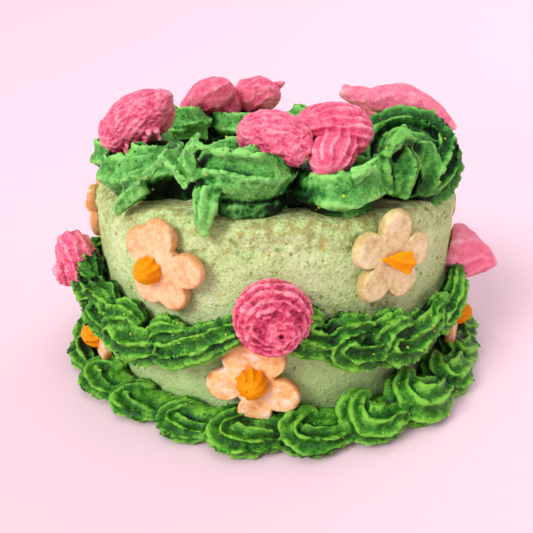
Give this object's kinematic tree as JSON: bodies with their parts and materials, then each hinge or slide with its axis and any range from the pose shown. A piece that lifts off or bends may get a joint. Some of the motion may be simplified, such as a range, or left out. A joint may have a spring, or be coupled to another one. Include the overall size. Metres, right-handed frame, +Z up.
{
  "type": "flower cake",
  "caption": "Small round frosted cake with a piped shell border, garlands between rosettes, flower biscuits on its side and a crown of swirls with dollops on top.",
  "frame": {"origin": "middle of the cake's flat underside, on the surface that it stands on", "axes": "+Z up through the middle of the cake; -Y towards the side with the lowest flower biscuit under a rosette, which is its front; +X to the right as seen from the front"},
  "size_m": [0.1471, 0.1521, 0.0898],
  "materials": {
    "frosting": "matt pale green frosting with fine yellow and olive flecks and a rough grain",
    "green_piping": "matt deep green frosting piped through a star nozzle, grainy",
    "swirl_piping": "matt mid green frosting piped through a star nozzle, smoother and a little lighter",
    "pink_piping": "matt rose pink frosting with fine ridges",
    "biscuit": "matt pale peach biscuit with light mottling",
    "yellow_piping": "smooth golden yellow frosting with a slight sheen"
  },
  "bodies": {
    "root": {"cake_body": "frosting", "biscuit_upper_1": "biscuit", "biscuit_centre_upper_1": "yellow_piping", "biscuit_upper_2": "biscuit", "biscuit_centre_upper_2": "yellow_piping", "biscuit_upper_3": "biscuit", "biscuit_centre_upper_3": "yellow_piping", "biscuit_upper_4": "biscuit", "biscuit_centre_upper_4": "yellow_piping", "biscuit_upper_5": "biscuit", "biscuit_centre_upper_5": "yellow_piping", "biscuit_upper_6": "biscuit", "biscuit_centre_upper_6": "yellow_piping", "biscuit_lower_1": "biscuit", "biscuit_centre_lower_1": "yellow_piping", "biscuit_lower_2": "biscuit", "biscuit_centre_lower_2": "yellow_piping", "biscuit_lower_3": "biscuit", "biscuit_centre_lower_3": "yellow_piping", "biscuit_lower_4": "biscuit", "biscuit_centre_lower_4": "yellow_piping", "biscuit_lower_5": "biscuit", "biscuit_centre_lower_5": "yellow_piping", "side_rosette_1": "pink_piping", "side_rosette_2": "pink_piping", "side_rosette_3": "pink_piping", "side_rosette_4": "pink_piping", "side_rosette_5": "pink_piping", "garland_1": "green_piping", "garland_2": "green_piping", "garland_3": "green_piping", "garland_4": "green_piping", "garland_5": "green_piping", "base_border": "green_piping", "top_swirl_1": "swirl_piping", "top_swirl_2": "swirl_piping", "top_swirl_3": "swirl_piping", "top_swirl_4": "swirl_piping", "top_swirl_5": "swirl_piping", "top_swirl_6": "swirl_piping", "top_swirl_7": "swirl_piping", "top_swirl_8": "swirl_piping", "top_swirl_9": "swirl_piping", "top_swirl_10": "swirl_piping", "top_dollop_1": "pink_piping", "top_dollop_2": "pink_piping", "top_dollop_3": "pink_piping", "top_dollop_4": "pink_piping", "top_dollop_5": "pink_piping", "top_dollop_6": "pink_piping", "top_dollop_7": "pink_piping"}
  },
  "joints": []
}
